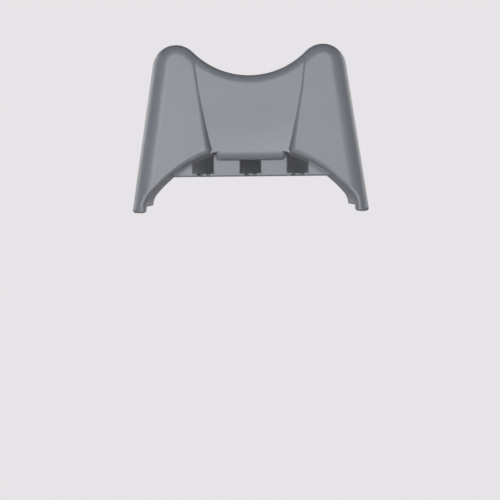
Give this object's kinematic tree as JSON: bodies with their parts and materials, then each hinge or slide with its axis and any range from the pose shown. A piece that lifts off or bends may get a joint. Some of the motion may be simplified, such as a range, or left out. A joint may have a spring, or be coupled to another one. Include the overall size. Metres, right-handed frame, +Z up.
{
  "type": "hose hanger",
  "caption": "Wall-mounted garden hose hanger: eared front shield, arched saddle for the coil, and a slotted rail below that holds spray nozzles.",
  "frame": {"origin": "on the wall face, midway between the two screw holes", "axes": "+X right as seen from the front, +Y into the wall, +Z up"},
  "size_m": [0.2678, 0.13, 0.188],
  "materials": {
    "grey_plastic": "satin, finely textured"
  },
  "bodies": {
    "root": {"hanger": "grey_plastic"}
  },
  "joints": []
}
